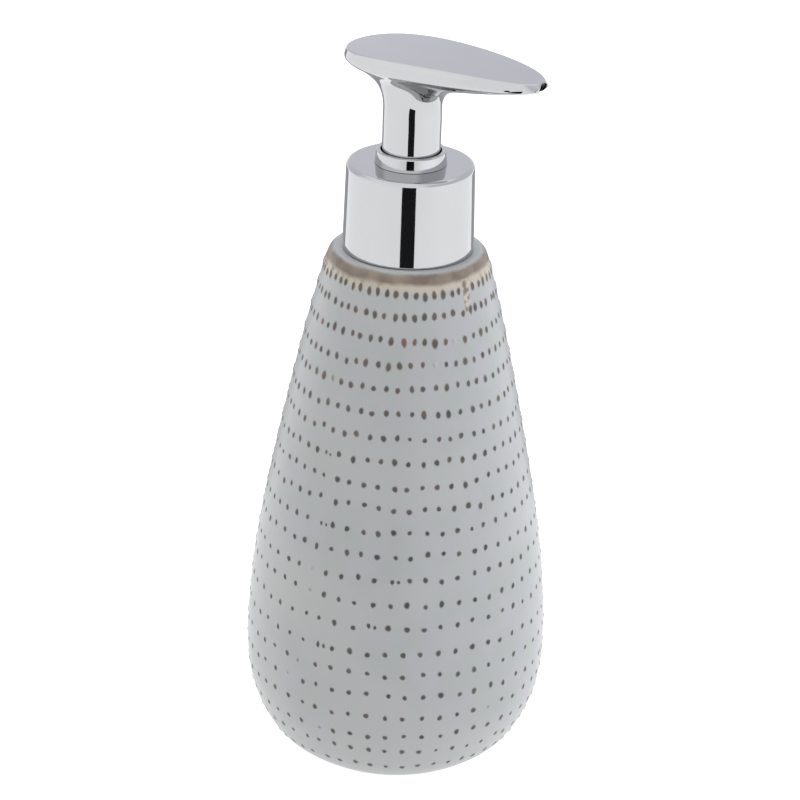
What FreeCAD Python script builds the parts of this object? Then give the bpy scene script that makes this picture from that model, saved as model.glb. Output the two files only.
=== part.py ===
import FreeCAD, Part
import math
import os

# Soap pump dispenser: a glazed ceramic bottle with a screw-on lotion pump.
# Millimetres. +Z is up, the spout points along +X, and the origin is the centre of the base.

os.makedirs("parts", exist_ok=True)
V = FreeCAD.Vector

# ---------------------------------------------------------------- bottle
BOTTLE_H = 133.6              # flat top of the mouth
FLOOR_T = 5.0
WALL = 4.0
MOUTH_R = 13.0
MOUTH_LAND_R = 17.2           # outer edge of the flat round the mouth
BORE_L = 5.8                  # straight part of the mouth
FOOT_R = 23.4                 # outer edge of the ring that stands on the table
FOOT_RING_W = 5.0
FOOT_RECESS = 1.0
CAVITY_FLOOR_R = 24.0
SHOULDER = (20.25, 130.0)     # (radius, height) where the side turns over into the shoulder
SHOULDER_MID = (19.4, 132.5)
SIDE = [(29.2, 4.2), (33.3, 10.0), (36.1, 17.0), (37.5, 29.0), (37.15, 40.0),
        (34.95, 60.0), (31.4, 80.0), (27.35, 100.0), (22.8, 120.0)]

# ---------------------------------------------------------------- screw neck (28 mm finish)
PITCH = 4.2333                # 6 threads per inch
THREAD_TURNS = 1.5
THREAD_HALF_ROOT = 1.15
THREAD_HALF_CREST = 0.65
THREAD_SINK = 0.3             # how far a ridge is let into its wall
NECK_BORE_R = 10.6
NECK_ROOT_R = 12.45
NECK_CREST_R = 13.65
NECK_TOP = 151.2
NECK_THREAD_Z = 141.0         # height of the ridge's centre at its start
SLEEVE_R = 12.6               # part of the insert inside the mouth
SLEEVE_L = 11.0
SEAL_GAP = 0.05
INSERT_FLANGE_R = 14.5
INSERT_FLANGE_T = 1.4

# ---------------------------------------------------------------- cap
CAP_BOTTOM = 133.95
CAP_TOP = 155.6
CAP_BOTTOM_R = 16.1
CAP_TOP_R = 15.65
CAP_EDGE_R = 1.2
CAP_WALL = 0.85
CAP_HOLE_R = 8.55
LINER_R = 14.7
LINER_ROOT_R = 13.95
LINER_CREST_R = 12.9
LINER_BOTTOM = 135.8
LINER_TOP_T = 1.2

# ---------------------------------------------------------------- pump housing
GASKET_T = 1.0
FLANGE_T = 1.2
FLANGE_R = 13.2
CHAMBER_R = 8.3
CHAMBER_WALL = 1.25
CHAMBER_FLOOR = 137.5
CHAMBER_FLOOR_T = 1.5
CYLINDER_R = 5.6
CYLINDER_WALL = 1.3
CYLINDER_BOTTOM = 96.0
SEAT_HOLE_R = 1.5
SEAT_TOP_R = 3.2              # the 45 degree valve seat, at the cylinder's floor
SOCKET_TOP = 91.0
SOCKET_R = 3.05
SOCKET_WALL = 1.3
SOCKET_BOTTOM = 80.0
VENT_R = 0.6
VENT_Z = 145.0

# ---------------------------------------------------------------- pieces in the housing
RING_BASE_R = 8.86
RING_RIM_R = 8.5
RING_TOP = 159.0
RING_GAP = 0.12               # between the turning cap and the ring
RING_BORE_R = 7.45
RING_SLEEVE_R = 8.25
RING_SLEEVE_BOTTOM = 147.5
RING_RIM_ROUND = 0.35
WIPER_T = 2.0
CAGE_T = 1.2
CAGE_R = 5.5
CAGE_BORE_R = 2.6
CAGE_TOWER_R = 3.5
CAGE_TOWER_H = 5.4
CAGE_HOLE_R = 1.2
CAGE_SLOT_W = 1.6
INLET_BALL_R = 2.2
BALL_GAP = 0.08
TUBE_R = 3.0
TUBE_BORE_R = 2.15
TUBE_TOP = 90.0
TUBE_BOTTOM = 9.0
SPRING_R = 4.6
SPRING_WIRE_R = 0.4
SPRING_TURNS = 9.0

# ---------------------------------------------------------------- stem and piston
STEM_R = 3.4
STEM_BORE_R = 1.45
STEM_VALVE_R = 2.1            # wider bore round the outlet ball
STEM_BOTTOM = 124.0
STEM_STEP = 130.3             # top of the wider bore
STEM_TOP = 168.9
STEM_COLLAR_R = 4.6
STEM_COLLAR_T = 1.4
PISTON_H = 8.0
PISTON_LIP_R = 5.55
PISTON_WAIST_R = 5.15
PISTON_LIP_H = 1.6
RUN_GAP = 0.05                # radial clearance of everything that slides or turns on the stem
PLUG_HEAD_T = 3.0
PLUG_PIN_L = 2.0
PLUG_BORE_R = 1.0
OUTLET_BALL_R = 1.6
OUTLET_SEAT_R = 1.9
SLOT_W = 0.9

# ---------------------------------------------------------------- push head
NECK_R = 7.15
NECK_HEAD_BORE_R = 5.7
NECK_HEAD_BOTTOM = 152.0
NECK_HEAD_BORE_TOP = 175.0
HEAD_TOP = 184.25
HEAD_CROWN_X = 7.0            # highest point of the top
HEAD_CROWN_R = 260.0          # the top's long curve
HEAD_MID_X = 8.8              # middle of the head's length
HEAD_HALF_L = 26.2
HEAD_HALF_W = 12.3
HEAD_TAPER = 0.24             # how much narrower the spout end is than the back
HEAD_BLUNT = 0.105            # how much fuller both ends are than an oval's
HEAD_STEPS = 20
# from the neck up to above the top: (share of the way from neck to rim, height at spout, at back)
HEAD_LEVELS = [(0.00, 152.0, 152.0), (0.00, 158.0, 158.0), (0.00, 164.0, 164.0), (0.00, 168.0, 168.0),
               (0.00, 170.5, 169.9), (0.05, 173.9, 172.8), (0.15, 175.8, 174.8), (0.40, 177.7, 177.2),
               (0.72, 178.9, 179.0), (0.93, 180.0, 179.9), (1.045, 181.1, 181.2), (1.02, 182.2, 182.3),
               (0.96, 188.0, 188.0)]
TIP_X = 35.3                  # where the spout's end is cut off
TIP_Z = 181.4
TIP_TILT = 25.0               # degrees that the cut faces down
DUCT_R = 1.2
NOZZLE_R = 1.15
NOZZLE_BORE_R = 0.9
NOZZLE_RECESS = 0.4
SOCKET_CORE_R = 5.65
CORE_BOTTOM = 153.0


def turned(outline):
    """Solid of revolution about Z from a closed outline of (radius, height) points."""
    points = [V(r, 0, z) for r, z in outline]
    face = Part.Face(Part.makePolygon(points + points[:1]))
    return face.revolve(V(0, 0, 0), V(0, 0, 1), 360)


def ring(outer, inner, bottom, top):
    return turned([(inner, bottom), (outer, bottom), (outer, top), (inner, top)])


def rod(radius, bottom, top):
    return Part.makeCylinder(radius, top - bottom, V(0, 0, bottom))


def spline(points):
    curve = Part.BSplineCurve()
    curve.interpolate([V(r, 0, z) for r, z in points])
    return curve.toShape()


def line(a, b):
    return Part.LineSegment(V(a[0], 0, a[1]), V(b[0], 0, b[1])).toShape()


def ridge(root_r, crest_r, start_z):
    """Helical thread ridge from root_r to crest_r, let into the wall behind root_r."""
    sunk = root_r - THREAD_SINK if crest_r > root_r else root_r + THREAD_SINK
    path = Part.makeHelix(PITCH, PITCH * THREAD_TURNS, root_r)
    profile = Part.makePolygon([
        V(sunk, 0, -THREAD_HALF_ROOT), V(crest_r, 0, -THREAD_HALF_CREST),
        V(crest_r, 0, THREAD_HALF_CREST), V(sunk, 0, THREAD_HALF_ROOT), V(sunk, 0, -THREAD_HALF_ROOT)])
    sweep = Part.Wire(path.Edges).makePipeShell([profile], True, True)
    sweep.translate(V(0, 0, start_z))
    return sweep


def bottle():
    inner = [(r - WALL, z) for r, z in SIDE if z > FLOOR_T + WALL]
    cavity = [(CAVITY_FLOOR_R, FLOOR_T)] + inner + [(MOUTH_R, BOTTLE_H - BORE_L)]
    foot_in = FOOT_R - FOOT_RING_W
    shoulder = Part.Arc(V(SHOULDER[0], 0, SHOULDER[1]), V(SHOULDER_MID[0], 0, SHOULDER_MID[1]),
                        V(MOUTH_LAND_R, 0, BOTTLE_H)).toShape()
    edges = [
        line((0, FOOT_RECESS), (foot_in - FOOT_RECESS, FOOT_RECESS)),
        line((foot_in - FOOT_RECESS, FOOT_RECESS), (foot_in, 0)),
        line((foot_in, 0), (FOOT_R, 0)),
        spline([(FOOT_R, 0)] + SIDE + [SHOULDER]),
        shoulder,
        line((MOUTH_LAND_R, BOTTLE_H), (MOUTH_R, BOTTLE_H)),
        line((MOUTH_R, BOTTLE_H), cavity[-1]),
        spline(cavity),
        line(cavity[0], (0, FLOOR_T)),
        line((0, FLOOR_T), (0, FOOT_RECESS)),
    ]
    face = Part.Face(Part.Wire(Part.__sortEdges__(edges)))
    return face.revolve(V(0, 0, 0), V(0, 0, 1), 360)


def neck_insert():
    body = turned([
        (NECK_BORE_R, BOTTLE_H - SLEEVE_L), (SLEEVE_R, BOTTLE_H - SLEEVE_L), (SLEEVE_R, BOTTLE_H),
        (INSERT_FLANGE_R, BOTTLE_H), (INSERT_FLANGE_R, BOTTLE_H + INSERT_FLANGE_T),
        (NECK_ROOT_R, BOTTLE_H + INSERT_FLANGE_T), (NECK_ROOT_R, NECK_TOP), (NECK_BORE_R, NECK_TOP)])
    return body.fuse(ridge(NECK_ROOT_R, NECK_CREST_R, NECK_THREAD_Z))


def insert_seal():
    return ring(MOUTH_R - SEAL_GAP, SLEEVE_R + SEAL_GAP, BOTTLE_H - BORE_L, BOTTLE_H - SEAL_GAP)


def cap_shell():
    edge_z = CAP_TOP - CAP_EDGE_R
    corner = Part.Arc(
        V(CAP_TOP_R, 0, edge_z),
        V(CAP_TOP_R - CAP_EDGE_R * (1 - math.sqrt(0.5)), 0, edge_z + CAP_EDGE_R * math.sqrt(0.5)),
        V(CAP_TOP_R - CAP_EDGE_R, 0, CAP_TOP)).toShape()
    inside_r = CAP_TOP_R - CAP_WALL
    inside_z = CAP_TOP - CAP_WALL
    edges = [
        line((CAP_BOTTOM_R, CAP_BOTTOM), (CAP_TOP_R, edge_z)),
        corner,
        line((CAP_TOP_R - CAP_EDGE_R, CAP_TOP), (CAP_HOLE_R, CAP_TOP)),
        line((CAP_HOLE_R, CAP_TOP), (CAP_HOLE_R, inside_z)),
        line((CAP_HOLE_R, inside_z), (inside_r, inside_z)),
        line((inside_r, inside_z), (CAP_BOTTOM_R - CAP_WALL, CAP_BOTTOM)),
        line((CAP_BOTTOM_R - CAP_WALL, CAP_BOTTOM), (CAP_BOTTOM_R, CAP_BOTTOM)),
    ]
    face = Part.Face(Part.Wire(Part.__sortEdges__(edges)))
    return face.revolve(V(0, 0, 0), V(0, 0, 1), 360)


def cap_liner():
    top = CAP_TOP - CAP_WALL - SEAL_GAP
    body = turned([
        (LINER_ROOT_R, LINER_BOTTOM), (LINER_R, LINER_BOTTOM), (LINER_R, top), (CAP_HOLE_R, top),
        (CAP_HOLE_R, top - LINER_TOP_T), (LINER_ROOT_R, top - LINER_TOP_T)])
    return body.fuse(ridge(LINER_ROOT_R, LINER_CREST_R, NECK_THREAD_Z - PITCH / 2))


def flange_gasket():
    return ring(FLANGE_R, CHAMBER_R + CHAMBER_WALL + SEAL_GAP, NECK_TOP, NECK_TOP + GASKET_T)


def pump_housing():
    flange_z = NECK_TOP + GASKET_T
    chamber_out = CHAMBER_R + CHAMBER_WALL
    cylinder_out = CYLINDER_R + CYLINDER_WALL
    socket_out = SOCKET_R + SOCKET_WALL
    seat_z = CYLINDER_BOTTOM - (SEAT_TOP_R - SEAT_HOLE_R)
    body = turned([
        (CHAMBER_R, flange_z + FLANGE_T), (FLANGE_R, flange_z + FLANGE_T), (FLANGE_R, flange_z),
        (chamber_out, flange_z), (chamber_out, CHAMBER_FLOOR - CHAMBER_FLOOR_T),
        (cylinder_out, CHAMBER_FLOOR - CHAMBER_FLOOR_T - 2), (cylinder_out, CYLINDER_BOTTOM),
        (socket_out, SOCKET_TOP), (socket_out, SOCKET_BOTTOM), (SOCKET_R, SOCKET_BOTTOM),
        (SOCKET_R, SOCKET_TOP), (SEAT_HOLE_R, SOCKET_TOP), (SEAT_HOLE_R, seat_z),
        (SEAT_TOP_R, CYLINDER_BOTTOM), (CYLINDER_R, CYLINDER_BOTTOM), (CYLINDER_R, CHAMBER_FLOOR),
        (CHAMBER_R, CHAMBER_FLOOR)])
    vent = Part.makeCylinder(VENT_R, chamber_out + 1, V(0, 0, VENT_Z), V(0, 1, 0))
    return body.cut(vent)


def guide_ring():
    base = CAP_TOP + RING_GAP
    body = turned([
        (RING_BORE_R, RING_SLEEVE_BOTTOM), (RING_SLEEVE_R, RING_SLEEVE_BOTTOM), (RING_SLEEVE_R, base),
        (RING_BASE_R, base), (RING_RIM_R, RING_TOP), (RING_BORE_R, RING_TOP)])
    rim = [e for e in body.Edges if e.BoundBox.ZMin > RING_TOP - 0.01 and e.BoundBox.XMax > RING_RIM_R - 0.1]
    return body.makeFillet(RING_RIM_ROUND, rim)


def stem_seal():
    return ring(CHAMBER_R - SEAL_GAP, STEM_R + RUN_GAP, CHAMBER_FLOOR, CHAMBER_FLOOR + WIPER_T)


def ball_cage():
    top = CYLINDER_BOTTOM + CAGE_TOWER_H
    body = turned([
        (CAGE_BORE_R, CYLINDER_BOTTOM), (CAGE_R, CYLINDER_BOTTOM), (CAGE_R, CYLINDER_BOTTOM + CAGE_T),
        (CAGE_TOWER_R, CYLINDER_BOTTOM + CAGE_T), (CAGE_TOWER_R, top), (CAGE_HOLE_R, top),
        (CAGE_HOLE_R, top - CAGE_T), (CAGE_BORE_R, top - CAGE_T)])
    slot_z = CYLINDER_BOTTOM + CAGE_T + 0.4
    for turn in (0, 120, 240):
        corner = V(0, -CAGE_SLOT_W / 2, slot_z)
        slot = Part.makeBox(CAGE_TOWER_R + 1, CAGE_SLOT_W, top - CAGE_T - slot_z, corner)
        slot.rotate(V(0, 0, 0), V(0, 0, 1), turn)
        body = body.cut(slot)
    return body


def ball(radius, seat_r, seat_z):
    """Ball over a 45 degree seat of radius seat_r at height seat_z, a hair above contact."""
    centre = seat_z - seat_r + (radius + BALL_GAP) * math.sqrt(2)
    return Part.makeSphere(radius, V(0, 0, centre))


def inlet_ball():
    return ball(INLET_BALL_R, SEAT_TOP_R, CYLINDER_BOTTOM)


def dip_tube():
    return ring(TUBE_R, TUBE_BORE_R, TUBE_BOTTOM, TUBE_TOP)


def return_spring():
    """Coil with flat ground ends, between the cage and the plug under the piston."""
    bottom = CYLINDER_BOTTOM + CAGE_T + SEAL_GAP
    top = STEM_BOTTOM - PLUG_HEAD_T - SEAL_GAP
    pitch = (top - bottom) / SPRING_TURNS
    path = Part.makeHelix(pitch, top - bottom, SPRING_R)
    wire_end = Part.Wire(Part.makeCircle(SPRING_WIRE_R, V(SPRING_R, 0, 0), V(0, 1, 0)))
    coil = Part.Wire(path.Edges).makePipeShell([wire_end], True, True)
    coil.translate(V(0, 0, bottom))
    room = ring(SPRING_R + 1, SPRING_R - 1, bottom, top)
    return coil.common(room)


def stem():
    collar = STEM_BOTTOM + PISTON_H + 2 * RUN_GAP
    body = turned([
        (STEM_VALVE_R, STEM_BOTTOM), (STEM_R, STEM_BOTTOM), (STEM_R, collar), (STEM_COLLAR_R, collar),
        (STEM_COLLAR_R, collar + STEM_COLLAR_T), (STEM_R, collar + STEM_COLLAR_T), (STEM_R, STEM_TOP),
        (STEM_BORE_R, STEM_TOP), (STEM_BORE_R, STEM_STEP), (STEM_VALVE_R, STEM_STEP)])
    for turn in (0, 90):
        slot = Part.makeBox(2 * STEM_VALVE_R, SLOT_W, 1, V(-STEM_VALVE_R, -SLOT_W / 2, STEM_STEP))
        slot.rotate(V(0, 0, 0), V(0, 0, 1), turn)
        body = body.cut(slot)
    return body


def stem_plug():
    pin_top = STEM_BOTTOM + PLUG_PIN_L
    seat_depth = OUTLET_SEAT_R - PLUG_BORE_R
    return turned([
        (PLUG_BORE_R, STEM_BOTTOM - PLUG_HEAD_T), (STEM_COLLAR_R, STEM_BOTTOM - PLUG_HEAD_T),
        (STEM_COLLAR_R, STEM_BOTTOM - 2 * RUN_GAP), (STEM_VALVE_R - SEAL_GAP, STEM_BOTTOM - 2 * RUN_GAP),
        (STEM_VALVE_R - SEAL_GAP, pin_top), (OUTLET_SEAT_R, pin_top), (PLUG_BORE_R, pin_top - seat_depth)])


def outlet_ball():
    return ball(OUTLET_BALL_R, OUTLET_SEAT_R, STEM_BOTTOM + PLUG_PIN_L)


def piston():
    bottom = STEM_BOTTOM
    top = STEM_BOTTOM + PISTON_H
    bore = STEM_R + RUN_GAP
    return turned([
        (bore, bottom), (PISTON_LIP_R, bottom), (PISTON_LIP_R, bottom + PISTON_LIP_H),
        (PISTON_WAIST_R, bottom + PISTON_LIP_H + 0.4), (PISTON_WAIST_R, top - PISTON_LIP_H - 0.4),
        (PISTON_LIP_R, top - PISTON_LIP_H), (PISTON_LIP_R, top), (bore, top)])


def head_level(share, front_z, back_z):
    """Closed curve round the head, share of the way out from the neck's circle to the rim."""
    points = []
    for step in range(HEAD_STEPS):
        a = 2 * math.pi * (step / HEAD_STEPS + 0.25)      # the seam lies at the side, off the spout
        rim_x = HEAD_MID_X + HEAD_HALF_L * math.cos(a)
        rim_y = HEAD_HALF_W * math.sin(a) * (1 - HEAD_TAPER * math.cos(a) + HEAD_BLUNT * math.cos(2 * a))
        front = (1 + math.cos(a)) / 2
        points.append(V((1 - share) * NECK_R * math.cos(a) + share * rim_x,
                        (1 - share) * NECK_R * math.sin(a) + share * rim_y,
                        back_z + (front_z - back_z) * front))
    curve = Part.BSplineCurve()
    curve.interpolate(Points=points, Parameters=list(range(HEAD_STEPS + 1)), PeriodicFlag=True)
    return curve


def head_skin():
    """Closed solid through all the head's levels, smooth both round and up."""
    levels = [head_level(*level) for level in HEAD_LEVELS]
    heights = [0.0]
    for low, high in zip(levels, levels[1:]):
        gaps = [p.distanceToPoint(q) for p, q in zip(low.getPoles(), high.getPoles())]
        heights.append(heights[-1] + sum(gaps) / len(gaps))
    columns = []
    for points in zip(*[level.getPoles() for level in levels]):
        column = Part.BSplineCurve()
        column.interpolate(Points=list(points), Parameters=heights)
        columns.append(column)
    skin = Part.BSplineSurface()
    skin.buildFromPolesMultsKnots(
        [column.getPoles() for column in columns],
        levels[0].getMultiplicities(), columns[0].getMultiplicities(),
        levels[0].getKnots(), columns[0].getKnots(), True, False, 3, 3)
    side = skin.toShape()
    ends = [Part.Face(Part.Wire(e)) for e in side.Edges if e.BoundBox.ZLength < 0.01]
    shell = Part.Shell([side] + ends)
    shell.sewShape()
    solid = Part.Solid(shell)
    solid.fix(1e-6, 1e-6, 1e-6)
    return solid


def head_form():
    """Outer form of the push head: neck, flared underside, rounded sides and long crowned top."""
    crown = Part.makeCylinder(HEAD_CROWN_R, 60, V(HEAD_CROWN_X, -30, HEAD_TOP - HEAD_CROWN_R), V(0, 1, 0))
    form = head_skin().common(crown)
    tip = Part.makeBox(20, 40, 40, V(0, -20, -20))
    tip.rotate(V(0, 0, 0), V(0, 1, 0), TIP_TILT)
    tip.translate(V(TIP_X, 0, TIP_Z))
    return form.cut(tip)


def duct(radius, start_x, end_x):
    """Straight level bore along the spout."""
    return Part.makeCylinder(radius, end_x - start_x, V(start_x, 0, TIP_Z), V(1, 0, 0))


def head_shell():
    bore = rod(NECK_HEAD_BORE_R, NECK_HEAD_BOTTOM - 1, NECK_HEAD_BORE_TOP)
    riser = rod(STEM_BORE_R + 0.5, NECK_HEAD_BORE_TOP - 1, TIP_Z)
    return head_form().cut(bore).cut(riser).cut(duct(DUCT_R, 0, TIP_X + 5))


def nozzle_tube():
    length = duct(NOZZLE_R, 3.0, TIP_X + 5).cut(duct(NOZZLE_BORE_R, 2.0, TIP_X + 6))
    end = Part.makeBox(20, 40, 40, V(-NOZZLE_RECESS, -20, -20))
    end.rotate(V(0, 0, 0), V(0, 1, 0), TIP_TILT)
    end.translate(V(TIP_X, 0, TIP_Z))
    return length.cut(end)


def stem_socket():
    """Core of the head: grips the stem and leads up to the spout's bore."""
    top = NECK_HEAD_BORE_TOP - SEAL_GAP
    return turned([
        (STEM_R + SEAL_GAP, CORE_BOTTOM), (SOCKET_CORE_R, CORE_BOTTOM), (SOCKET_CORE_R, top),
        (STEM_BORE_R + 0.5, top), (STEM_BORE_R + 0.5, STEM_TOP + SEAL_GAP),
        (STEM_R + SEAL_GAP, STEM_TOP + SEAL_GAP)])


PIECES = [
    bottle, neck_insert, insert_seal, cap_shell, cap_liner, flange_gasket, pump_housing, guide_ring,
    stem_seal, ball_cage, inlet_ball, dip_tube, return_spring, stem, stem_plug, outlet_ball, piston,
    head_shell, nozzle_tube, stem_socket,
]

for piece in PIECES:
    shape = piece()
    shape.exportStep("parts/" + piece.__name__ + ".step")
    box = shape.BoundBox
    print("%-14s valid %s solids %d volume %9.1f  z %7.2f..%7.2f" % (
        piece.__name__, shape.isValid(), len(shape.Solids), shape.Volume, box.ZMin, box.ZMax))
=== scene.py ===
"""Looks of the soap pump bottle: glazed stoneware with raised dots, under a chrome-plated lotion pump."""
import math
import random

import bmesh
import bpy
import numpy as np
from mathutils import Matrix, Vector


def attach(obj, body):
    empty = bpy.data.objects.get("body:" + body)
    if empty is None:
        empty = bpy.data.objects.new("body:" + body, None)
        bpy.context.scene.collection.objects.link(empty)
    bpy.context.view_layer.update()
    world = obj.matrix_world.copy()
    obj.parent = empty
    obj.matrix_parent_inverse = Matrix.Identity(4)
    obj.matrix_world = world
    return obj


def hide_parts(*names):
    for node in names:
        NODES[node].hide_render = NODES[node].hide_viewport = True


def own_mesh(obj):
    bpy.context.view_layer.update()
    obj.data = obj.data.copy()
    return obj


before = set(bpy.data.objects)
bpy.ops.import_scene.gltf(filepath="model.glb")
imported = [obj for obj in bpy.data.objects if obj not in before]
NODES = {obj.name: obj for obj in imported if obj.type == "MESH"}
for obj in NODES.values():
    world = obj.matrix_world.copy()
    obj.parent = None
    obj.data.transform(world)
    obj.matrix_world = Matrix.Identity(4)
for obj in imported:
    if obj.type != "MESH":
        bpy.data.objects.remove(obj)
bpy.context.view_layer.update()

MM = 0.001
CAMERA_AZIMUTH = math.radians(30)     # from -Y towards +X, the spout's side
FACING = CAMERA_AZIMUTH - math.pi / 2  # direction from the axis to the camera, as an angle about Z

# All sizes below are in millimetres.
BOTTLE_H = 133.6
FOOT_R = 23.4
FOOT_IN = 18.4
FOOT_RECESS = 1.0
MOUTH_R = 13.0
MOUTH_DEPTH = 5.8                     # straight part of the mouth, below the lip
LIP_R = 19.0
CAVITY_FLOOR_R = 24.0
BOTTLE_COLUMNS = 200
FLOOR_T = 5.0
WALL = 4.0
SHOULDER = (20.25, 130.0)
SIDE = [(29.2, 4.2), (33.3, 10.0), (36.1, 17.0), (37.5, 29.0), (37.15, 40.0),
        (34.95, 60.0), (31.4, 80.0), (27.35, 100.0), (22.8, 120.0)]

DOT_ROWS = ([128.9, 123.9] + [123.9 - 5.86 * k for k in range(1, 14)]
            + [123.4 - 5.90 * k for k in range(14, 19)] + [12.0, 6.9])
DOT_W = 1.22                          # the brown spot on a dot, side to side
DOT_H_TOP = 1.95                      # its height in the top row, where the dots are ovals
DOT_H_LOW = 1.35
DOT_RISE = 0.22
DOT_SINK = 0.12                       # how far a dot's underside is let into the wall
DOT_FOOT = 0.75                       # half of a dot's flared foot, in widths of its brown spot
DOT_SIDES = 12
DOT_RINGS = [(0.30, 0.93, 1.0), (0.52, 0.62, 0.86), (0.74, 0.20, 0.36), (1.0, -0.09, 0.0)]  # reach, rise, brown
SEAM_HALF_WIDTH = 0.09                # in radians
DRIP_ANGLE = FACING + math.radians(44)   # a run of glaze over the first two rows
DOT_SEAM = FACING - math.radians(36)  # where the two halves of the mould met

CAP_BOTTOM, CAP_BOTTOM_R = 133.78, 16.1
CAP_TOP, CAP_TOP_R = 155.6, 15.65
CAP_HOLE_R = 8.55
CAP_WALL = 0.85
RING_BASE, RING_TOP = 155.66, 159.0
RING_BASE_R, RING_RIM_R, RING_BORE_R = 8.86, 8.5, 7.45
RING_SLEEVE_R, RING_SLEEVE_BOTTOM = 8.25, 147.5

NECK_R = 7.15
NECK_BORE_R = 5.7
NECK_BORE_TOP = 175.0
HEAD_TOP = 184.25
HEAD_CROWN_X = 7.0
HEAD_CROWN_R = 260.0
HEAD_MID_X = 8.8
HEAD_HALF_L = 26.2
HEAD_HALF_W = 12.3
HEAD_TAPER = 0.24
HEAD_BLUNT = 0.105
HEAD_SPINE = (-13, 15)                # ends of the line the top closes on, from HEAD_MID_X
HEAD_COLUMNS, HEAD_ROWS = 192, 84
# Share of the rim reached, height at the front, height at the back.
HEAD_LEVELS = [(0.00, 152.0, 152.0), (0.00, 158.0, 158.0), (0.00, 164.0, 164.0), (0.00, 168.0, 168.0),
               (0.00, 170.5, 169.9), (0.05, 173.9, 172.8), (0.15, 175.8, 174.8), (0.40, 177.7, 177.2),
               (0.72, 178.9, 179.0), (0.93, 180.0, 179.9), (1.045, 181.1, 181.2), (1.02, 182.2, 182.3),
               (0.96, 188.0, 188.0)]
HEAD_EDGE_ROUND = 0.3
TIP_X, TIP_Z, TIP_TILT = 35.3, 181.4, 25.0
TIP_ROUND = 0.25
TIP_HOLE_W, TIP_HOLE_H = 1.8, 1.2      # half sizes of the oval hole

SPRING_R, SPRING_WIRE_R, SPRING_TURNS = 4.6, 0.4, 9.0
SPRING_BOTTOM, SPRING_TOP = 97.25, 120.95

CAMERA_TILT, CAMERA_ROLL = math.radians(23.19), math.radians(1.878)
CAMERA_LENS, CAMERA_DISTANCE = 181.29, 1.0        # millimetres and metres
CAMERA_AIM_Z, CAMERA_SHIFT = 92.77, 0.726
FLAG_LEFT, FLAG_RIGHT = math.radians(-35), math.radians(27)
FLAG_DISTANCE, FLAG_H = 1.25, 1.5                 # in metres
BRIGHT_SKY = math.radians(-35)


# ---------------------------------------------------------------- mesh building
def curve_through(points, spacing):
    """Points about spacing apart on a natural cubic curve through the given ones."""
    p = np.array(points, float)
    t = np.concatenate([[0.0], np.cumsum(np.linalg.norm(np.diff(p, axis=0), axis=1))])
    h = np.diff(t)
    matrix = np.eye(len(p))
    rhs = np.zeros_like(p)
    for i in range(1, len(p) - 1):
        matrix[i, i - 1:i + 2] = h[i - 1], 2 * (h[i - 1] + h[i]), h[i]
        rhs[i] = 6 * ((p[i + 1] - p[i]) / h[i] - (p[i] - p[i - 1]) / h[i - 1])
    bend = np.linalg.solve(matrix, rhs)
    out = []
    for s in np.linspace(0, t[-1], max(2, int(round(t[-1] / spacing)) + 1)):
        i = min(int(np.searchsorted(t, s, side="right")) - 1, len(h) - 1)
        a, b = t[i + 1] - s, s - t[i]
        out.append((bend[i] * a ** 3 + bend[i + 1] * b ** 3) / (6 * h[i])
                   + (p[i] / h[i] - bend[i] * h[i] / 6) * a
                   + (p[i + 1] / h[i] - bend[i + 1] * h[i] / 6) * b)
    return [tuple(q) for q in out]


def with_rounds(corners, steps=5):
    """An outline from (x, z, radius) corners, each rounded to its radius, ends left as they are."""
    out = []
    for i, (x, z, radius) in enumerate(corners):
        here = Vector((x, z))
        if radius == 0 or i in (0, len(corners) - 1):
            out.append((x, z))
            continue
        to_last = (Vector(corners[i - 1][:2]) - here).normalized()
        to_next = (Vector(corners[i + 1][:2]) - here).normalized()
        half = to_last.angle(to_next) / 2
        reach = radius / math.tan(half)
        centre = here + (to_last + to_next).normalized() * radius / math.sin(half)
        start, end = here + to_last * reach - centre, here + to_next * reach - centre
        out.append(tuple(centre + start + to_last * 0.03))
        for k in range(steps + 1):
            arm = start.lerp(end, k / steps).normalized() * radius
            out.append(tuple(centre + arm))
        out.append(tuple(centre + end + to_next * 0.03))
    return out


def divided(outline, spacing):
    """The outline with its long straight parts cut into steps."""
    out = [outline[0]]
    for a, b in zip(outline, outline[1:]):
        steps = max(1, int(math.dist(a, b) / spacing))
        out += [(a[0] + (b[0] - a[0]) * k / steps, a[1] + (b[1] - a[1]) * k / steps)
                for k in range(1, steps + 1)]
    return out


def joined_rings(rings, verts, faces, closed):
    """Quads between one ring of points and the next; a ring of one point closes to a fan."""
    starts = []
    for ring in rings:
        starts.append(len(verts))
        verts.extend(ring)
    order = list(range(len(rings))) + ([0] if closed else [])
    for a, b in zip(order, order[1:]):
        ia, ib, na, nb = starts[a], starts[b], len(rings[a]), len(rings[b])
        count = max(na, nb)
        for k in range(count):
            j = (k + 1) % count
            if na == 1:
                faces.append((ia, ib + j, ib + k))
            elif nb == 1:
                faces.append((ia + k, ia + j, ib))
            else:
                faces.append((ia + k, ia + j, ib + j, ib + k))


def turned(outline, columns, closed):
    """Rings of an (r, z) outline turned about Z, for joined_rings."""
    rings = []
    for r, z in outline:
        if r < 1e-6 and not closed:
            rings.append([(0.0, 0.0, z)])
        else:
            rings.append([(r * math.cos(2 * math.pi * k / columns), r * math.sin(2 * math.pi * k / columns), z)
                          for k in range(columns)])
    return rings


def make_piece(name, verts, faces, sharp_angle=40):
    mesh = bpy.data.meshes.new(name)
    mesh.from_pydata([(x * MM, y * MM, z * MM) for x, y, z in verts], [], faces)
    mesh.update()
    mesh.shade_smooth()
    mesh.set_sharp_from_angle(angle=math.radians(sharp_angle))
    piece = bpy.data.objects.new(name, mesh)
    bpy.context.scene.collection.objects.link(piece)
    return piece


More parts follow.
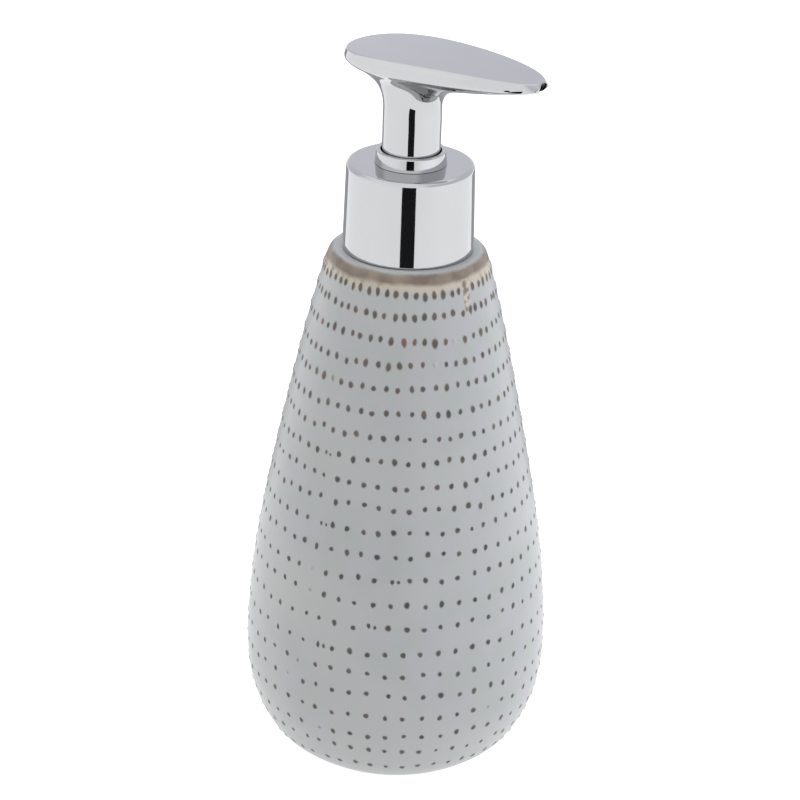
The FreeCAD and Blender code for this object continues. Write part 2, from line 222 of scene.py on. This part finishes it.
# ---------------------------------------------------------------- bottle
OUTER = curve_through([(FOOT_R, 0)] + SIDE + [SHOULDER], 1.25)
WALL_Z = np.array([z for r, z in OUTER])
WALL_R = np.array([r for r, z in OUTER])


def wall_frame(z):
    """Radius of the outer wall at a height, and its upward direction in the (r, z) plane."""
    r = float(np.interp(z, WALL_Z, WALL_R))
    slope = float(np.interp(z + 0.5, WALL_Z, WALL_R) - np.interp(z - 0.5, WALL_Z, WALL_R))
    length = math.hypot(slope, 1)
    return r, slope / length, 1 / length


def dot(verts, faces, shades, angle, height, width, tall, rise, strength, rng):
    """One raised dot: a low dome with a flared foot let a little into the wall, brown at its top."""
    sides, rings = DOT_SIDES, DOT_RINGS
    lean, lobe = rng.uniform(0, 2 * math.pi), rng.uniform(0, 2 * math.pi)
    start = len(verts)

    def place(u, v, out):
        r, tr, tz = wall_frame(height + v)
        turn = angle + u / r
        radius, z = r + out * tz, height + v - out * tr
        verts.append((radius * math.cos(turn), radius * math.sin(turn), z))

    place(0, 0, rise)
    shades.append(strength)
    for share, lift, shade in rings:
        for k in range(sides):
            a = 2 * math.pi * k / sides
            wobble = 1 + 0.07 * math.sin(2 * a + lean) + 0.05 * math.sin(3 * a + lobe)
            place(DOT_FOOT * width * share * wobble * math.cos(a),
                  DOT_FOOT * tall * share * wobble * math.sin(a), lift * rise)
            shades.append(shade * strength)
    place(0, 0, -DOT_SINK)
    shades.append(0.0)
    last = len(verts) - 1
    for k in range(sides):
        j = (k + 1) % sides
        faces.append((start, start + 1 + k, start + 1 + j))
        for ring in range(len(rings) - 1):
            a, b = start + 1 + ring * sides, start + 1 + (ring + 1) * sides
            faces.append((a + k, b + k, b + j, a + j))
        a = start + 1 + (len(rings) - 1) * sides
        faces.append((a + k, last, a + j))


def dots(verts, faces, shades):
    rng = random.Random(7)
    drift = 0.0
    for row, row_z in enumerate(DOT_ROWS):
        count = round(56 - 0.3 * row)
        drift += rng.gauss(0, 0.07)
        wave = [rng.uniform(0, 2 * math.pi) for _ in range(3)]
        share = min(1, row / 9)
        for i in range(count):
            angle = FACING + 2 * math.pi * (i + drift) / count
            near_seam = min(abs(math.remainder(angle - DOT_SEAM, 2 * math.pi)),
                            abs(math.remainder(angle - DOT_SEAM - math.pi, 2 * math.pi))) < SEAM_HALF_WIDTH
            near_seam = near_seam and row > 6
            rough = 2.2 if near_seam else 1.0
            if row == 0 and abs(math.remainder(angle - DRIP_ANGLE, 2 * math.pi)) < 0.05:
                continue
            z = row_z + 0.28 * math.sin(angle + wave[0]) + 0.2 * math.sin(3 * angle + wave[1])
            z += rng.gauss(0, 0.15 + 0.1 * share)
            angle += rng.gauss(0, 0.2 * rough) / wall_frame(z)[0]
            size = rng.gauss(1, 0.09) * (0.88 if near_seam else 1)
            width = DOT_W * size
            tall = (DOT_H_TOP + (DOT_H_LOW - DOT_H_TOP) * share) * size * rng.gauss(1, 0.08)
            strength = rng.uniform(0.86, 1.0)
            fate = rng.random()
            if fate < (0.3 if near_seam else 0.012):
                strength *= rng.uniform(0.15, 0.6)
            if near_seam and 0.3 < fate < 0.5:
                tall *= 1.35
            if fate > (0.93 if near_seam else 0.996):
                dot(verts, faces, shades, angle + 1.6 / 37, z + rng.gauss(0, 0.2), width * 0.7, tall * 0.75,
                    DOT_RISE * 0.7, strength * 0.9, rng)
                width *= 0.75
            rise = DOT_RISE * (1 - 0.3 * share) * rng.uniform(0.85, 1.1)
            dot(verts, faces, shades, angle, z, width, tall, rise, strength, rng)


def bottle_piece():
    shoulder = with_rounds([SHOULDER + (0,), (LIP_R, BOTTLE_H, 2.3), (MOUTH_R, BOTTLE_H, 0.9),
                            (MOUTH_R, BOTTLE_H - MOUTH_DEPTH, 0)], 8)
    inside = [(r - WALL, z) for r, z in SIDE if z > FLOOR_T + WALL]
    cavity = curve_through([(CAVITY_FLOOR_R, FLOOR_T)] + inside + [(MOUTH_R, BOTTLE_H - MOUTH_DEPTH)], 3.4)[::-1]
    foot = with_rounds([(0, FOOT_RECESS, 0), (FOOT_IN - FOOT_RECESS, FOOT_RECESS, 0.5), (FOOT_IN, 0, 0.3),
                        (FOOT_R, 0, 0.5)] + [OUTER[1] + (0,)], 4)
    outline = (divided(foot, 2.5) + OUTER[2:-1] + divided(shoulder, 1.2) + cavity[1:]
               + divided([cavity[-1], (0.0, FLOOR_T)], 4)[1:])
    verts, faces = [], []
    joined_rings(turned(outline, BOTTLE_COLUMNS, False), verts, faces, False)
    shades = [0.0] * len(verts)
    dots(verts, faces, shades)
    piece = make_piece("stoneware_bottle", verts, faces, 50)
    brown = piece.data.attributes.new("brown", "FLOAT", "POINT")
    brown.data.foreach_set("value", shades)
    return piece


# ---------------------------------------------------------------- chrome collar and ring
def cap_piece():
    outline = with_rounds([
        (CAP_BOTTOM_R - CAP_WALL, CAP_BOTTOM + 3, 0), (CAP_BOTTOM_R - CAP_WALL, CAP_BOTTOM, 0.1),
        (CAP_BOTTOM_R, CAP_BOTTOM, 0.15), (CAP_TOP_R, CAP_TOP, 1.2), (CAP_HOLE_R, CAP_TOP, 0.08),
        (CAP_HOLE_R, CAP_TOP - CAP_WALL, 0.08), (CAP_TOP_R - CAP_WALL, CAP_TOP - CAP_WALL, 0.3),
        (CAP_TOP_R - CAP_WALL, CAP_TOP - 3, 0)], 8)
    verts, faces = [], []
    joined_rings(turned(divided(outline, 1.5), 256, True), verts, faces, True)
    return make_piece("chrome_collar", verts, faces, 50)


def ring_piece():
    outline = with_rounds([
        (RING_BORE_R, 152.0, 0), (RING_BORE_R, RING_SLEEVE_BOTTOM, 0.1),
        (RING_SLEEVE_R, RING_SLEEVE_BOTTOM, 0.1), (RING_SLEEVE_R, RING_BASE, 0.08),
        (RING_BASE_R, RING_BASE, 0.04), (RING_RIM_R, RING_TOP, 0.35), (RING_BORE_R, RING_TOP, 0.2),
        (RING_BORE_R, 154.0, 0)], 5)
    verts, faces = [], []
    joined_rings(turned(divided(outline, 1.0), 192, True), verts, faces, True)
    return make_piece("chrome_ring", verts, faces, 50)


# ---------------------------------------------------------------- chrome head
def crown_z(x):
    return HEAD_TOP - HEAD_CROWN_R + math.sqrt(HEAD_CROWN_R ** 2 - (x - HEAD_CROWN_X) ** 2)


def spine_x(x):
    return min(max(x, HEAD_MID_X + HEAD_SPINE[0]), HEAD_MID_X + HEAD_SPINE[1])


def head_point(a, share, front_z, back_z):
    rim_x = HEAD_MID_X + HEAD_HALF_L * math.cos(a)
    rim_y = HEAD_HALF_W * math.sin(a) * (1 - HEAD_TAPER * math.cos(a) + HEAD_BLUNT * math.cos(2 * a))
    front = (1 + math.cos(a)) / 2
    return Vector(((1 - share) * NECK_R * math.cos(a) + share * rim_x,
                   (1 - share) * NECK_R * math.sin(a) + share * rim_y,
                   back_z + (front_z - back_z) * front))


def head_column(a, levels, rows):
    """Points up the head's side at one angle, ending on the crowned top with a small round."""
    path = [head_point(a, *level) for level in levels]
    over = next(i for i, p in enumerate(path) if p.z > crown_z(p.x))
    low, high = path[over - 1], path[over]
    gap_low, gap_high = crown_z(low.x) - low.z, high.z - crown_z(high.x)
    edge = low.lerp(high, gap_low / (gap_low + gap_high))
    path = path[:over] + [edge]
    lengths = [0.0]
    for p, q in zip(path, path[1:]):
        lengths.append(lengths[-1] + (q - p).length)
    stop = lengths[-1] - HEAD_EDGE_ROUND
    column = []
    for k in range(rows):
        s = stop * k / (rows - 1)
        i = min(next((j for j in range(len(lengths) - 1) if lengths[j + 1] > s), len(path) - 2), len(path) - 2)
        column.append(path[i].lerp(path[i + 1], (s - lengths[i]) / (lengths[i + 1] - lengths[i])))
    middle = Vector((spine_x(edge.x), 0, 0))
    inward = Vector((middle.x - edge.x, -edge.y, 0)).normalized() * HEAD_EDGE_ROUND
    top = Vector((edge.x + inward.x, edge.y + inward.y, crown_z(edge.x + inward.x)))
    base = column[-1].copy()
    for k in range(1, 6):
        t = k / 5
        column.append(base * (1 - t) ** 2 + edge * 2 * t * (1 - t) + top * t * t)
    return column


def head_piece():
    fine = [(share / 20, front, back) for share, front, back in
            curve_through([(share * 20, front, back) for share, front, back in HEAD_LEVELS], 0.4)]
    columns = HEAD_COLUMNS
    sides = [head_column(2 * math.pi * k / columns, fine, HEAD_ROWS) for k in range(columns)]
    rings = [[tuple(side[row]) for side in sides] for row in range(len(sides[0]))]
    edge = rings[-1]
    spine = [spine_x(x) for x, y, z in edge]
    for share in (0.985, 0.93, 0.85, 0.75, 0.6, 0.45, 0.3, 0.15, 0.04):
        ring = []
        for (x, y, z), mid in zip(edge, spine):
            px = mid + (x - mid) * share
            ring.append((px, y * share, crown_z(px)))
        rings.append(ring)
    bore = turned([(NECK_BORE_R, z) for z in (NECK_BORE_TOP, 168.0, 160.0, 152.0)], columns, False)
    verts, faces = [], []
    joined_rings([[(0.0, 0.0, NECK_BORE_TOP)]] + bore + rings, verts, faces, False)
    top = len(verts) - columns
    half = columns // 2
    for k in range(half):
        a, b = top + k, top + k + 1
        c, d = top + (columns - k - 1) % columns, top + (columns - k) % columns
        faces.append((a, b, c) if k == 0 else (a, b, d) if k == half - 1 else (a, b, c, d))
    return make_piece("chrome_head", verts, faces, 32)


def cut_tip(piece):
    """Cuts the spout's end off at a slant, rounds the cut a little and bores its hole."""
    mesh = bmesh.new()
    mesh.from_mesh(piece.data)
    tilt = math.radians(TIP_TILT)
    normal = Vector((math.cos(tilt), 0, -math.sin(tilt)))
    point = Vector((TIP_X, 0, TIP_Z)) * MM
    bmesh.ops.remove_doubles(mesh, verts=mesh.verts, dist=1e-7)
    whole = mesh.verts[:] + mesh.edges[:] + mesh.faces[:]
    cut = bmesh.ops.bisect_plane(mesh, geom=whole, plane_co=point, plane_no=normal, clear_outer=True, dist=1e-7)
    rim = [v for v in cut["geom_cut"] if isinstance(v, bmesh.types.BMVert)]
    bmesh.ops.remove_doubles(mesh, verts=rim, dist=0.06 * MM)
    rim = [e for e in mesh.edges if len(e.link_faces) == 1]
    facet = bmesh.ops.contextual_create(mesh, geom=rim)["faces"]
    bmesh.ops.bevel(mesh, geom=[e for f in facet for e in f.edges], offset=TIP_ROUND * MM, segments=4,
                    affect="EDGES", profile=0.5)
    bmesh.ops.recalc_face_normals(mesh, faces=mesh.faces)
    mesh.to_mesh(piece.data)
    mesh.free()
    verts, faces = [], []
    outline = [(0, -12), (1, -12), (1, 2), (0, 2)]
    joined_rings(turned(outline, 48, False), verts, faces, False)
    drill = make_piece("drill", verts, faces)
    oval = Matrix.Diagonal((TIP_HOLE_H, TIP_HOLE_W, 1, 1))
    drill.matrix_world = Matrix.Translation(point) @ Matrix.Rotation(math.pi / 2, 4, "Y") @ oval
    hole = piece.modifiers.new("hole", "BOOLEAN")
    hole.operation = "DIFFERENCE"
    hole.solver = "MANIFOLD"
    hole.object = drill
    bpy.context.view_layer.update()
    finished = bpy.data.meshes.new_from_object(piece.evaluated_get(bpy.context.evaluated_depsgraph_get()))
    piece.modifiers.clear()
    piece.data = finished
    bpy.data.objects.remove(drill)
    piece.data.shade_smooth()
    piece.data.set_sharp_from_angle(angle=math.radians(32))


# ---------------------------------------------------------------- return spring
def spring_piece():
    """Steel coil with ends ground flat, from the valve cage up to the plug under the piston."""
    steps, sides = int(SPRING_TURNS) * 40, 12
    verts, faces = [], []
    rings = []
    for k in range(steps + 1):
        turn = 2 * math.pi * SPRING_TURNS * k / steps
        middle = SPRING_BOTTOM + (SPRING_TOP - SPRING_BOTTOM) * k / steps
        ring = []
        for j in range(sides):
            a = 2 * math.pi * j / sides
            r = SPRING_R + SPRING_WIRE_R * math.cos(a)
            z = min(max(middle + SPRING_WIRE_R * math.sin(a), SPRING_BOTTOM), SPRING_TOP)
            ring.append((r * math.cos(turn), r * math.sin(turn), z))
        rings.append(ring)
    # Known fault: the coil's faces are wound inwards, against its two end faces.
    joined_rings(rings, verts, faces, False)
    faces.append(tuple(range(sides)))
    faces.append(tuple(range(len(verts) - 1, len(verts) - 1 - sides, -1)))
    return make_piece("coil_spring", verts, faces, 60)


# ---------------------------------------------------------------- materials
def feed(tree, socket, value):
    """Links the value if it is a socket, and sets it otherwise."""
    if isinstance(value, bpy.types.NodeSocket):
        tree.links.new(value, socket)
    else:
        socket.default_value = value


def add(tree, kind, settings=None, **inputs):
    """A node with its settings and inputs; an input that is a socket is linked, anything else is set."""
    node = tree.nodes.new("ShaderNode" + kind)
    for key, value in (settings or {}).items():
        setattr(node, key, value)
    for key, value in inputs.items():
        feed(tree, node.inputs[int(key[1:])] if key[0] == "i" and key[1:].isdigit() else node.inputs[key], value)
    return node


def start_material(name):
    """An empty-looking material, its shader, and object coordinates in millimetres."""
    material = bpy.data.materials.new(name)
    material.use_nodes = True
    tree = material.node_tree
    shader = tree.nodes["Principled BSDF"]
    place = add(tree, "TexCoord").outputs["Object"]
    mm = add(tree, "VectorMath", {"operation": "SCALE"}, i0=place, Scale=1000.0).outputs[0]
    return material, tree, shader, mm


def noise(tree, mm, size, detail=2.0, stretch=(1, 1, 1), roughness=0.5):
    """Smooth noise, 0 to 1, with features about size mm across."""
    where = mm
    if stretch != (1, 1, 1):
        where = add(tree, "Mapping", Vector=mm, Scale=stretch).outputs[0]
    return add(tree, "TexNoise", Vector=where, Scale=1.0 / size, Detail=detail,
               Roughness=roughness).outputs[0]


def span(tree, value, low, high, to_low=0.0, to_high=1.0):
    """A smooth step of value from low to high."""
    return add(tree, "MapRange", {"interpolation_type": "SMOOTHSTEP"}, Value=value, i1=low, i2=high,
               i3=to_low, i4=to_high).outputs[0]


def math_node(tree, operation, a, b=0.0):
    return add(tree, "Math", {"operation": operation}, i0=a, i1=b).outputs[0]


def times(tree, a, b):
    return math_node(tree, "MULTIPLY", a, b)


def height_of(tree, vector):
    return add(tree, "SeparateXYZ", Vector=vector).outputs[2]


def dot_product(tree, a, b):
    return add(tree, "VectorMath", {"operation": "DOT_PRODUCT"}, i0=a, i1=b).outputs["Value"]


def ramp(tree, value, low, high):
    """A value from 0 to 1 spread straight over low to high."""
    return add(tree, "MapRange", Value=value, i3=low, i4=high).outputs[0]


def blend_colour(tree, share, a, b):
    return add(tree, "Mix", {"data_type": "RGBA"}, i0=share, i6=a, i7=b).outputs[2]


def bump(tree, height, distance, strength=1.0, normal=None):
    node = add(tree, "Bump", Height=height, Distance=distance * MM, Strength=strength)
    if normal is not None:
        tree.links.new(normal, node.inputs["Normal"])
    return node.outputs[0]


def connect(tree, shader, **inputs):
    names = {"colour": "Base Color", "roughness": "Roughness", "normal": "Normal"}
    for key, value in inputs.items():
        feed(tree, shader.inputs[names.get(key, key)], value)


def glaze():
    """Pale grey glaze that breaks brown over the dots and the mouth's edge, cream just below it."""
    material, tree, shader, mm = start_material("stoneware_glaze")
    height = height_of(tree, mm)
    flat = add(tree, "VectorMath", {"operation": "MULTIPLY"}, i0=mm, i1=(1, 1, 0)).outputs[0]
    radius = add(tree, "VectorMath", {"operation": "LENGTH"}, i0=flat).outputs["Value"]
    tint = blend_colour(tree, span(tree, noise(tree, mm, 8, 3), 0.35, 0.65),
                        (0.325, 0.345, 0.335, 1), (0.345, 0.350, 0.365, 1))
    tint = blend_colour(tree, span(tree, noise(tree, mm, 26, 2), 0.4, 0.65), tint, (0.355, 0.365, 0.362, 1))
    ragged = times(tree, math_node(tree, "SUBTRACT", noise(tree, mm, 5, 2), 0.5), 1.8)
    near_lip = math_node(tree, "ADD", height, ragged)
    cream = times(tree, span(tree, near_lip, 128.0, 130.6, 0.0, 0.85), span(tree, radius, 18.6, 19.6))
    tint = blend_colour(tree, cream, tint, (0.44, 0.385, 0.305, 1))
    band = times(tree, span(tree, near_lip, 130.4, 131.9),
                 span(tree, math_node(tree, "SUBTRACT", radius, times(tree, ragged, 0.4)), 17.7, 18.9))
    rim = blend_colour(tree, span(tree, noise(tree, mm, 6, 3), 0.35, 0.65),
                       (0.105, 0.078, 0.060, 1), (0.200, 0.156, 0.118, 1))
    tint = blend_colour(tree, times(tree, band, 0.92), tint, rim)
    across, up = flaw_place(tree, mm)
    bend = times(tree, math_node(tree, "SUBTRACT", noise(tree, mm, 3.0, 2), 0.5), 1.4)
    offset = math_node(tree, "ABSOLUTE", math_node(tree, "ADD", across, bend))
    drip = times(tree, span(tree, offset, 0.6, 1.3, 1.0, 0.0), up)
    drip_tint = blend_colour(tree, span(tree, noise(tree, mm, 1.3, 3), 0.4, 0.62),
                             (0.44, 0.39, 0.32, 1), (0.13, 0.09, 0.07, 1))
    tint = blend_colour(tree, times(tree, drip, 0.85), tint, drip_tint)
    spot = add(tree, "Attribute", {"attribute_name": "brown"}).outputs["Fac"]
    spot = times(tree, spot, span(tree, noise(tree, mm, 0.8, 3), 0.1, 0.45, 0.85, 1.0))
    spot = span(tree, spot, 0.05, 0.95)
    mottle = span(tree, noise(tree, mm, 5, 2), 0.35, 0.65)
    iron = blend_colour(tree, span(tree, height, 60.0, 118.0),
                        blend_colour(tree, mottle, (0.024, 0.026, 0.023, 1), (0.062, 0.050, 0.038, 1)),
                        blend_colour(tree, mottle, (0.050, 0.049, 0.042, 1), (0.100, 0.072, 0.052, 1)))
    red = times(tree, span(tree, noise(tree, mm, 6, 1), 0.64, 0.70), span(tree, height, 95.0, 110.0))
    iron = blend_colour(tree, red, iron, (0.150, 0.058, 0.052, 1))
    tint = blend_colour(tree, spot, tint, iron)
    bare = span(tree, math_node(tree, "ADD", height, noise(tree, mm, 4, 2)), 0.55, 0.75, 1.0, 0.0)
    clay = blend_colour(tree, noise(tree, mm, 0.7, 4), (0.38, 0.33, 0.27, 1), (0.50, 0.45, 0.38, 1))
    tint = blend_colour(tree, bare, tint, clay)
    rough = ramp(tree, noise(tree, mm, 5, 3), 0.26, 0.40)
    rough = math_node(tree, "MAXIMUM", rough, times(tree, bare, 0.85))
    raised = bump(tree, drip, 0.12, 0.6)
    peel = bump(tree, noise(tree, mm, 2.4, 2), 0.06, 0.5, raised)
    grain = bump(tree, noise(tree, mm, 0.45, 3), 0.02, 0.4, peel)
    connect(tree, shader, colour=tint, roughness=rough, normal=grain)
    return material


def flaw_place(tree, mm):
    """Millimetres sideways from the glaze drip at the front of the mouth, and a mask of its height."""
    along = (math.cos(DRIP_ANGLE), math.sin(DRIP_ANGLE), 0)
    across = dot_product(tree, mm, (-along[1], along[0], 0))
    out = dot_product(tree, mm, along)
    height = height_of(tree, mm)
    mask = times(tree, span(tree, height, 122.0, 123.5), span(tree, height, 130.6, 131.6, 1.0, 0.0))
    return across, times(tree, mask, span(tree, out, 5.0, 8.0))


def chrome():
    material, tree, shader, mm = start_material("chrome_plate")
    smear = noise(tree, mm, 7, 3, (1, 1, 0.6))
    tint = blend_colour(tree, smear, (0.465, 0.470, 0.476, 1), (0.490, 0.495, 0.502, 1))
    rough = span(tree, noise(tree, mm, 3.5, 4), 0.3, 0.8, 0.035, 0.075)
    wave = bump(tree, noise(tree, mm, 6, 1), 0.012, 0.35)
    wear = bump(tree, noise(tree, mm, 0.35, 3), 0.0015, 0.3, wave)
    connect(tree, shader, colour=tint, roughness=rough, normal=wear, Metallic=1.0)
    return material


def plastic(name, dark, light, rough_low, rough_high, grain_size, through=0.0):
    """Moulded plastic: slight colour variation, a fine moulded grain and faint flow lines."""
    material, tree, shader, mm = start_material(name)
    flow = noise(tree, mm, 5, 3, (1, 1, 0.3))
    tint = blend_colour(tree, flow, dark + (1,), light + (1,))
    rough = ramp(tree, noise(tree, mm, 1.8, 3), rough_low, rough_high)
    lines = bump(tree, flow, 0.05, 0.3)
    grain = bump(tree, noise(tree, mm, grain_size, 3), 0.02, 0.5, lines)
    connect(tree, shader, colour=tint, roughness=rough, normal=grain)
    shader.inputs["Transmission Weight"].default_value = through
    return material


def foam():
    material, tree, shader, mm = start_material("gasket_foam")
    cells = add(tree, "TexVoronoi", {"feature": "DISTANCE_TO_EDGE"}, Vector=mm, Scale=3.5).outputs["Distance"]
    tint = blend_colour(tree, span(tree, cells, 0.02, 0.3), (0.55, 0.55, 0.53, 1), (0.80, 0.80, 0.78, 1))
    connect(tree, shader, colour=tint, roughness=0.85, normal=bump(tree, cells, 0.08, 0.8))
    return material


def steel(name, stretch, rough_low, rough_high):
    """Drawn or ground steel, with fine lines the way it was worked."""
    material, tree, shader, mm = start_material(name)
    lines = noise(tree, mm, 0.3, 4, stretch)
    tint = blend_colour(tree, noise(tree, mm, 2, 3), (0.48, 0.48, 0.47, 1), (0.62, 0.62, 0.61, 1))
    rough = ramp(tree, lines, rough_low, rough_high)
    connect(tree, shader, colour=tint, roughness=rough, normal=bump(tree, lines, 0.006, 0.5), Metallic=1.0)
    return material


def light_table():
    """Pale matt top of a light table, which lifts the shade under the object."""
    material, tree, shader, mm = start_material("light_table")
    tint = blend_colour(tree, noise(tree, mm, 60, 3), (0.36, 0.36, 0.36, 1), (0.38, 0.38, 0.38, 1))
    connect(tree, shader, colour=tint, roughness=0.75, normal=bump(tree, noise(tree, mm, 0.8, 3), 0.02, 0.3))
    shader.inputs["Emission Color"].default_value = (1.0, 1.0, 1.0, 1)
    shader.inputs["Emission Strength"].default_value = 0.84
    return material


def card_material(name, colour):
    """Matt board with no sheen of its own."""
    material = bpy.data.materials.new(name)
    material.use_nodes = True
    shader = material.node_tree.nodes["Principled BSDF"]
    shader.inputs["Base Color"].default_value = colour
    shader.inputs["Roughness"].default_value = 0.9
    shader.inputs["Specular IOR Level"].default_value = 0.0
    return material


# ---------------------------------------------------------------- build the pieces
GLAZE = glaze()
CHROME = chrome()
WHITE = plastic("white_plastic", (0.70, 0.70, 0.68), (0.82, 0.82, 0.80), 0.32, 0.48, 0.4)
TUBE = plastic("clear_tube", (0.78, 0.82, 0.83), (0.88, 0.90, 0.90), 0.14, 0.26, 0.6, 0.7)
# Painted shade: the nozzle tube is made near black to stand in for the dark inside the spout's hole.
HOLE_SHADE_BLACK = plastic("black_tube", (0.010, 0.010, 0.011), (0.024, 0.023, 0.024), 0.30, 0.5, 0.3)
SEAL = plastic("seal_plastic", (0.52, 0.55, 0.58), (0.62, 0.64, 0.66), 0.4, 0.55, 0.3)
ADHESIVE = plastic("adhesive", (0.62, 0.52, 0.30), (0.74, 0.66, 0.44), 0.25, 0.5, 0.9)
FOAM = foam()
SPRING = steel("spring_steel", (1, 1, 6), 0.18, 0.34)
BALL = steel("ball_steel", (1, 1, 1), 0.06, 0.12)

NODE_MATERIALS = {
    "neck_insert": WHITE, "pump_housing": WHITE, "cap_liner": WHITE, "ball_cage": WHITE, "stem": WHITE,
    "stem_plug": WHITE, "piston": SEAL, "stem_seal": SEAL, "stem_socket": WHITE, "dip_tube": TUBE,
    "nozzle_tube": HOLE_SHADE_BLACK, "flange_gasket": FOAM, "insert_seal": ADHESIVE,
    "inlet_ball": BALL, "outlet_ball": BALL,
}

bottle = bottle_piece()
collar = cap_piece()
ring = ring_piece()
head = head_piece()
cut_tip(head)
spring = spring_piece()

for piece, node, body, slot, material in (
        (bottle, "bottle", "bottle", "stoneware_glaze", GLAZE),
        (collar, "cap_shell", "cap", "chrome_plate", CHROME),
        (ring, "guide_ring", "pump", "chrome_plate", CHROME),
        (head, "head_shell", "head", "chrome_plate", CHROME),
        (spring, "return_spring", "pump", "spring_steel", SPRING)):
    piece.data.materials.clear()
    piece.data.materials.append(material)
    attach(piece, body)
    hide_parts(node)

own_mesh(spring)

for node, material in NODE_MATERIALS.items():
    for place in NODES[node].material_slots:
        place.material = material


# ---------------------------------------------------------------- stage, light and camera
def stage_plane(name, corners, material):
    mesh = bpy.data.meshes.new(name)
    mesh.from_pydata([tuple(c) for c in corners], [], [tuple(range(len(corners)))])
    mesh.materials.append(material)
    piece = bpy.data.objects.new(name, mesh)
    bpy.context.scene.collection.objects.link(piece)
    return piece


def around(angle, distance, z):
    """A point at an angle from the camera's side, positive to its right, in metres."""
    return (distance * math.cos(FACING + angle), distance * math.sin(FACING + angle), z)


stage_plane("floor", [(-6, -6, 0), (6, -6, 0), (6, 6, 0), (-6, 6, 0)], light_table())


def hide_from(piece, *rays):
    for ray in rays:
        setattr(piece, "visible_" + ray, False)


def floor_card(name, angles, near, far, material):
    """A card lying on the floor that only the shiny pieces show."""
    low, high = (math.radians(a) for a in angles)
    card = stage_plane(name, [around(low, near, 0.001), around(high, near, 0.001),
                              around(high, far, 0.001), around(low, far, 0.001)], material)
    hide_from(card, "camera", "diffuse", "shadow", "transmission")


BLACK_BOARD = card_material("dark_card", (0.012, 0.012, 0.014, 1))
floor_card("dark_card", (-13.4, 11), 0.29, 2.6, BLACK_BOARD)
floor_card("grey_card", (142, 218), 0.20, 1.2, card_material("grey_card", (0.30, 0.30, 0.31, 1)))
flag = stage_plane("front_flag", [around(FLAG_LEFT, FLAG_DISTANCE, 0.0), around(FLAG_RIGHT, FLAG_DISTANCE, 0.0),
                                  around(FLAG_RIGHT, FLAG_DISTANCE, FLAG_H),
                                  around(FLAG_LEFT, FLAG_DISTANCE, FLAG_H)], BLACK_BOARD)
hide_from(flag, "camera", "glossy", "transmission")

world = bpy.data.worlds.new("studio")
bpy.context.scene.world = world
world.use_nodes = True
sky = world.node_tree
sky_dir = add(sky, "TexCoord").outputs["Generated"]
sky_up = height_of(sky, sky_dir)
high_sky = span(sky, sky_up, 0.62, 0.80)
bright_side = dot_product(sky, sky_dir, around(BRIGHT_SKY, 1.0, 0.0))
low_colour = blend_colour(sky, span(sky, bright_side, 0.2, 0.55), (0.90, 0.90, 0.97, 1), (1.30, 1.30, 1.32, 1))
sky_colour = blend_colour(sky, high_sky, low_colour, (1.25, 1.25, 1.25, 1))
sky.links.new(sky_colour, sky.nodes["Background"].inputs["Color"])
sky.nodes["Background"].inputs["Strength"].default_value = 1.0


def soft_light(name, location, target, size, power, colour):
    light = bpy.data.lights.new(name, "AREA")
    light.shape = "RECTANGLE"
    light.size, light.size_y = size
    light.energy = power
    light.color = colour
    lamp = bpy.data.objects.new(name, light)
    lamp.location = location
    lamp.rotation_euler = (Vector(target) - Vector(location)).to_track_quat("-Z", "Y").to_euler()
    lamp.visible_glossy = False
    bpy.context.scene.collection.objects.link(lamp)


soft_light("key_right", around(math.radians(70), 1.3, 0.75), (0, 0, 0.08), (1.2, 1.0), 8.0, (0.93, 0.96, 1.0))
soft_light("top", (0, 0, 1.8), (0, 0, 0), (1.6, 1.6), 12.0, (1, 1, 1))


def add_camera():
    tilt, roll = CAMERA_TILT, CAMERA_ROLL
    right = Vector((math.cos(CAMERA_AZIMUTH), math.sin(CAMERA_AZIMUTH), 0))
    back = Vector((math.sin(CAMERA_AZIMUTH) * math.cos(tilt), -math.cos(CAMERA_AZIMUTH) * math.cos(tilt),
                   math.sin(tilt)))
    up = back.cross(right)
    turned_right = right * math.cos(roll) + up * math.sin(roll)
    turned_up = up * math.cos(roll) - right * math.sin(roll)
    spot = back * CAMERA_DISTANCE + Vector((0, 0, CAMERA_AIM_Z * MM)) - right * CAMERA_SHIFT * MM
    data = bpy.data.cameras.new("camera")
    data.lens = CAMERA_LENS
    data.sensor_width = 36
    data.clip_start = 0.01
    camera = bpy.data.objects.new("camera", data)
    turn = Matrix((turned_right, turned_up, back)).transposed().to_4x4()
    camera.matrix_world = Matrix.Translation(spot) @ turn
    bpy.context.scene.collection.objects.link(camera)
    bpy.context.scene.camera = camera


add_camera()
bpy.context.scene.view_settings.view_transform = "Standard"
bpy.context.scene.view_settings.look = "None"
